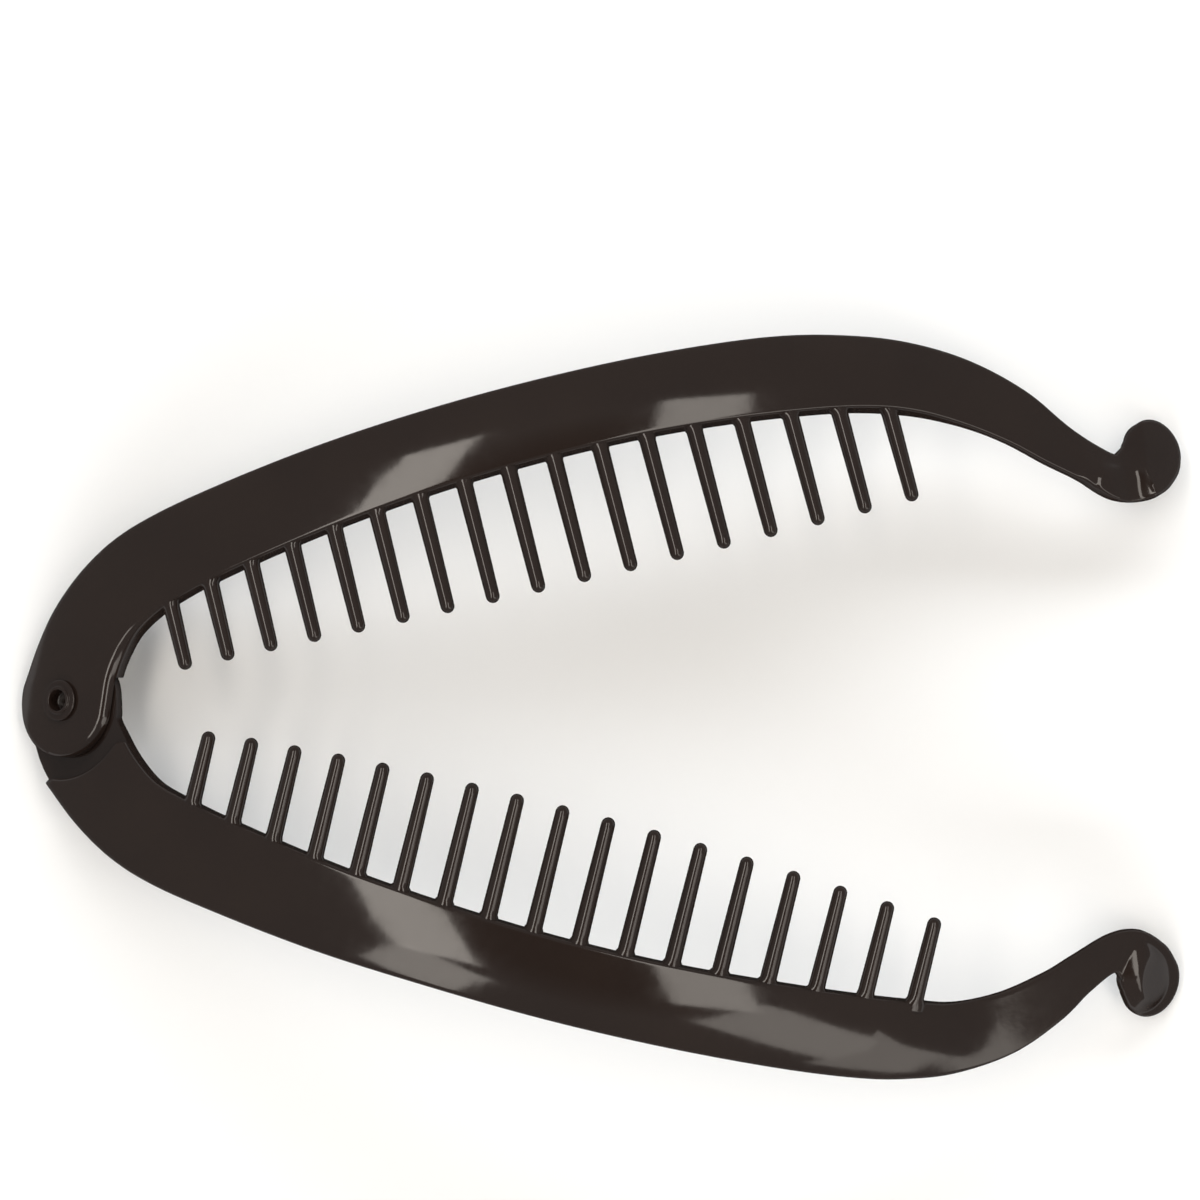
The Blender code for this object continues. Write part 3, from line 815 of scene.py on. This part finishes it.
def shoulder_cutter(name):
    """The cutter that frees the tongue. It rounds the shoulder's edge, and its corners in plan."""
    floor = LAP_LEVEL - LAP_CLEARANCE / 2
    (start,) = turned_rings([(SHOULDER_RADIUS, 0.0)])
    fronts, swell = [], []
    for x, y, _ in start:
        extra = 0.0
        for _ in range(CORNER_ROUNDS):
            grown = 1.0 + extra / SHOULDER_RADIUS
            front, inset = lower_front_at(x * grown, y * grown)
            extra = quarter_drop(inset, SHOULDER_CORNER)
        fronts.append(front)
        swell.append(extra)
    profile = [(0.0, floor, False), (0.0, floor + WALL_FOOT, False)]
    for step in range(ROLL_STEPS + 1):
        turn = math.pi / 2 * step / ROLL_STEPS
        out = SHOULDER_ROUNDING * (1.0 - math.cos(turn))
        profile.append((out, -SHOULDER_ROUNDING * (1.0 - math.sin(turn)), True))
    profile += [(*SHOULDER_FLARE, False), (SHOULDER_FLARE[0], FAR, False)]
    rings = []
    for out, height, follows_front in profile:
        ring = []
        for (x, y, _), front, extra in zip(start, fronts, swell):
            grown = 1.0 + (out + extra) / SHOULDER_RADIUS
            z = height + front + SHOULDER_CREASE if follows_front else height
            ring.append((x * grown, y * grown, z))
        rings.append(ring)
    return ring_solid(name, rings)


def turned_cutter(name, radius, bottom, top):
    """A plain round cutter about the hinge axis."""
    return ring_solid(name, turned_rings([(radius, bottom), (radius, top)]))


cutters = {
    "upper": [
        turned_cutter("ear_recess", EAR_RECESS_RADIUS, -FAR, LAP_LEVEL + LAP_CLEARANCE / 2),
        turned_cutter("ear_hole", HOLE_RADIUS, -FAR, FAR),
    ],
    "lower": [
        shoulder_cutter("tongue_recess"),
        turned_cutter("tongue_hole", HOLE_RADIUS, -FAR, FAR),
    ],
}


# %% Lay the arms on the arch and cut the hinge
SHARP_DEG = 38


def cut_with(obj, mesh):
    """Cuts a closed mesh out of an object with an exact Boolean."""
    tool = new_object(mesh.name, mesh)
    modifier = obj.modifiers.new(mesh.name, "BOOLEAN")
    modifier.object = tool
    modifier.operation = "DIFFERENCE"
    modifier.solver = "EXACT"
    graph = bpy.context.evaluated_depsgraph_get()
    result = bpy.data.meshes.new_from_object(obj.evaluated_get(graph))
    obj.modifiers.remove(modifier)
    obj.data = result
    bpy.data.objects.remove(tool)


for arm, side in SIDE.items():
    lay_out(arms[arm].data, side)
    lay_out(combs[arm].data, side)
    for mesh in cutters[arm]:
        cut_with(arms[arm], mesh)
    close_mesh(arms[arm])
    arms[arm].data.shade_smooth()
    arms[arm].data.set_sharp_from_angle(angle=math.radians(SHARP_DEG))
    open_up(arms[arm].data, arm)
    open_up(combs[arm].data, arm)

# %% [markdown]
# The rivet is hollow and moulded in the same plastic. Its front head is a thin flange with a raised lip
# round a blind bore, and its tail is a plain disc. It is turned from one profile whose corners are small
# arcs, since a lathe-like shape with hard corners would catch no light at its rims.

# %% The rivet
HEAD_GAP = 0.3
TONGUE_BACK = -3.55
RIVET_RADIUS = 1.9
FLANGE_RADIUS = 2.65
FLANGE_HEIGHT = 0.2
LIP_RADII = (1.4, 1.84)
LIP_HEIGHT = 0.27
BORE_DEPTH = 1.9
TAIL_HEIGHT = 0.5
BORE_ROUND = 0.35
LIP_INNER_ROUND = 0.12
LIP_OUTER_ROUND = 0.14
LIP_FOOT_ROUND = 0.08
RIM_ROUND = 0.16
RIVET_SIDES = 72


def arc(centre, radius, start_deg, end_deg, steps=5):
    """Points on an arc in the profile's plane."""
    turns = [math.radians(start_deg + (end_deg - start_deg) * k / steps) for k in range(steps + 1)]
    return [(centre[0] + radius * math.cos(a), centre[1] + radius * math.sin(a)) for a in turns]


def turned_mesh(name, profile, sides):
    """A closed mesh turned round Z from (radius, height) points, of which the first and last lie on Z."""
    turns = [2 * math.pi * k / sides for k in range(sides)]
    points = [(0.0, 0.0, profile[0][1]), (0.0, 0.0, profile[-1][1])]
    points += [(r * math.cos(a), r * math.sin(a), z) for r, z in profile[1:-1] for a in turns]
    last = len(profile) - 3
    faces = []
    for k in range(sides):
        here = [2 + ring * sides + k for ring in range(last + 1)]
        beside = [2 + ring * sides + (k + 1) % sides for ring in range(last + 1)]
        faces.append((0, here[0], beside[0]))
        faces += [(here[j], here[j + 1], beside[j + 1], beside[j]) for j in range(last)]
        faces.append((1, beside[last], here[last]))
    mesh = bpy.data.meshes.new(name)
    mesh.from_pydata([Vector(point) * MM for point in points], [], faces)
    return mesh


def rivet_mesh():
    """The rivet, turned from its profile and set at the hinge."""
    face = HEAD_GAP + FLANGE_HEIGHT
    lip = face + LIP_HEIGHT
    inner, outer = LIP_RADII
    tail = TONGUE_BACK - HEAD_GAP
    bottom = lip - BORE_DEPTH
    end = tail - TAIL_HEIGHT
    rim = FLANGE_RADIUS - RIM_ROUND
    profile = [(0.0, bottom)]
    profile += arc((inner - BORE_ROUND, bottom + BORE_ROUND), BORE_ROUND, -90, 0)
    profile += arc((inner + LIP_INNER_ROUND, lip - LIP_INNER_ROUND), LIP_INNER_ROUND, 180, 90)
    profile += arc((outer - LIP_OUTER_ROUND, lip - LIP_OUTER_ROUND), LIP_OUTER_ROUND, 90, 0)
    profile += arc((outer + LIP_FOOT_ROUND, face + LIP_FOOT_ROUND), LIP_FOOT_ROUND, 180, 270)
    profile += arc((rim, face - RIM_ROUND), RIM_ROUND, 90, 0)
    profile += [(FLANGE_RADIUS, HEAD_GAP), (RIVET_RADIUS, HEAD_GAP)]
    profile += [(RIVET_RADIUS, tail), (FLANGE_RADIUS, tail)]
    profile += arc((rim, end + RIM_ROUND), RIM_ROUND, 0, -90)
    profile += [(0.0, end)]
    mesh = turned_mesh("hinge_rivet_turned", profile, RIVET_SIDES)
    mesh.materials.append(rivet_brown)
    mesh.shade_smooth()
    mesh.transform(hinge)
    return mesh


rivet = new_object("moulded_rivet", rivet_mesh())
close_mesh(rivet)
rivet.data.set_sharp_from_angle(angle=math.radians(SHARP_DEG))

# %% [markdown]
# Each piece now moves with its body, and the frame's solid that it stands for is hidden. An arm's body
# and its teeth are one moulding on the real clip, so both stand for the same solid.

# %% Tie the pieces to the frame
for arm in SIDE:
    for piece in (arms[arm], combs[arm]):
        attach(piece, arm + "_arm")
        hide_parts(arm + "_comb_arm")
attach(rivet, "lower_arm")
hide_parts("hinge_rivet")

# %% [markdown]
# The camera looks almost straight down on the lying clip. Its place is found from the clip's own hinge:
# three angles say how the hinge stands in the picture, and two lengths say where it lies, with the
# picture's middle as zero. From 0.8 m away the picture is 156 mm wide at the clip.

# %% The camera
PICTURE_WIDTH = 0.156
VIEW_DISTANCE = 0.8
HINGE_IN_PICTURE = (-0.070139, -0.013063, 0.0)
HINGE_TURNS_DEG = {"Z": -2.5227, "X": -3.3571, "Y": -35.0}

to_picture = Matrix.Translation(HINGE_IN_PICTURE)
for axis, degrees in HINGE_TURNS_DEG.items():
    to_picture = to_picture @ Matrix.Rotation(math.radians(degrees), 4, axis)
picture = hinge @ to_picture.inverted()

lens = bpy.data.cameras.new("camera")
lens.sensor_width = 36.0
lens.lens = lens.sensor_width * VIEW_DISTANCE / PICTURE_WIDTH
lens.clip_start, lens.clip_end = 0.05, 20.0
camera = new_object("camera", lens)
camera.matrix_world = picture @ Matrix.Translation((0.0, 0.0, VIEW_DISTANCE))
bpy.context.scene.camera = camera
camera_lean = math.degrees(picture.col[2].xyz.angle((0, 0, 1)))
print("camera leans from the vertical by", round(camera_lean, 2), "degrees")

# %% [markdown]
# Gloss plastic shows its lights more than its colour, so the studio is laid out by what the clip should
# mirror. Two tall soft windows hang over it, left and right, and three lower ones stand towards the
# picture's foot. Each is a plain rectangle in a level plane above the clip, placed by the angles at which
# it is mirrored. Two broad lamps whiten the floor, and they are kept out of the gloss.

# %% Soft windows
LIGHT_HEIGHT = 0.75
WINDOW_WARMTH = (1.0, 0.93, 0.85)
WASH_COOLNESS = (0.97, 1.0, 1.03)


def soft_window(name, foot, head, width, brightness, mirrored=True):
    """A rectangular lamp above the clip, from foot to head. Both are mirrored angles in degrees."""
    ends = [Vector([LIGHT_HEIGHT * math.tan(math.radians(a)) for a in end]) for end in (foot, head)]
    run = ends[1] - ends[0]
    lamp = bpy.data.lights.new(name, "AREA")
    lamp.shape = "RECTANGLE"
    lamp.size, lamp.size_y = width, run.length
    lamp.energy = brightness * math.pi * width * run.length
    lamp.color = WINDOW_WARMTH if mirrored else WASH_COOLNESS
    obj = new_object(name, lamp)
    middle = ((ends[0] + ends[1]) / 2).to_3d() + Vector((0.0, 0.0, LIGHT_HEIGHT))
    turn = math.atan2(-run.x, run.y)
    obj.matrix_world = picture @ Matrix.Translation(middle) @ Matrix.Rotation(turn, 4, "Z")
    obj.visible_camera = False
    obj.visible_glossy = mirrored


soft_window("left_window", (-22.2, -17.0), (-22.2, 27.0), 0.177, 4.8)
soft_window("right_window", (15.5, -17.5), (15.5, 27.0), 0.162, 3.7)
soft_window("left_low_window", (-31.0, -31.0), (-21.5, -18.5), 0.20, 3.4)
soft_window("right_low_window", (17.0, -19.0), (35.0, -35.0), 0.24, 2.4)
soft_window("right_low_far_window", (33.0, -33.0), (66.0, -57.0), 0.38, 1.9)
soft_window("far_wash", (0.0, 52.0), (0.0, 68.0), 2.4, 6.2, mirrored=False)
soft_window("near_wash", (0.0, -70.0), (0.0, -56.0), 2.4, 6.2, mirrored=False)

# %% [markdown]
# The rest of the room is an even grey that the arms mirror all over, with a dark patch straight overhead,
# where the camera hangs. Below, it is pale at the horizon and dark straight down, which keeps the arms'
# side walls as dark as their fronts. The camera itself sees a pale room, so that the floor's far edge
# fades out in low views.

# %% The room
ROOM_GREY = 0.23
OVERHEAD_DARK = 0.05
OVERHEAD_EDGES_DEG = (24, 10)
HORIZON_PALE = 0.75
DOWN_DARK = 0.02
DOWN_SPAN = (-0.6, -0.05)
SEEN_PALE = 0.9
world = bpy.data.worlds.new("studio_room")
world.use_nodes = True
bpy.context.scene.world = world
room = world.node_tree
background = room.nodes["Background"]
looking = add_node(room, "ShaderNodeTexCoord").outputs["Generated"]
overhead = add_node(
    room, "ShaderNodeVectorMath", [looking, picture.col[2].xyz], operation="DOT_PRODUCT"
).outputs["Value"]
patch_edges = [math.cos(math.radians(a)) for a in OVERHEAD_EDGES_DEG]
grey = add_node(room, "ShaderNodeMapRange", [overhead, *patch_edges, ROOM_GREY, OVERHEAD_DARK])
height = add_node(room, "ShaderNodeSeparateXYZ", [looking]).outputs["Z"]
below = add_node(room, "ShaderNodeMapRange", [height, *DOWN_SPAN, DOWN_DARK, HORIZON_PALE])
is_below = add_node(room, "ShaderNodeMath", [height, 0.0], operation="LESS_THAN")
grey = add_node(room, "ShaderNodeMix", {"Factor": is_below, "A": grey, "B": below})
seen = add_node(room, "ShaderNodeLightPath").outputs["Is Camera Ray"]
shade = add_node(room, "ShaderNodeMix", {"Factor": seen, "A": grey, "B": SEEN_PALE})
room.links.new(shade.outputs[0], background.inputs["Color"])

# %% [markdown]
# The clip lies on a plain pale board. It is a wide disc, so that its edge is far outside every view. The
# gloss doesn't mirror it, since a board right behind the arms would line every side wall with a bright
# band.

# %% The floor
FLOOR_RADIUS = 4.0
FLOOR_DROP = 0.0001
bm = bmesh.new()
bmesh.ops.create_circle(bm, cap_ends=True, segments=96, radius=FLOOR_RADIUS)
bmesh.ops.translate(bm, verts=bm.verts, vec=(0.0, 0.0, -FLOOR_DROP))
floor_mesh = bpy.data.meshes.new("pale_floor")
bm.to_mesh(floor_mesh)
bm.free()
floor = new_object("pale_floor", floor_mesh)
board = bpy.data.materials.new("matt_white_board")
board.use_nodes = True
board_shader = board.node_tree.nodes["Principled BSDF"]
board_shader.inputs["Base Color"].default_value = linear("#f7f7f6")
board_shader.inputs["Roughness"].default_value = 0.9
board_shader.inputs["Specular IOR Level"].default_value = 0.1
floor_mesh.materials.append(board)
floor.visible_glossy = False

# %% [markdown]
# Product photographs are shown with a plain tone curve, so the scene uses the standard view.

# %% Finish
bpy.context.scene.view_settings.view_transform = "Standard"
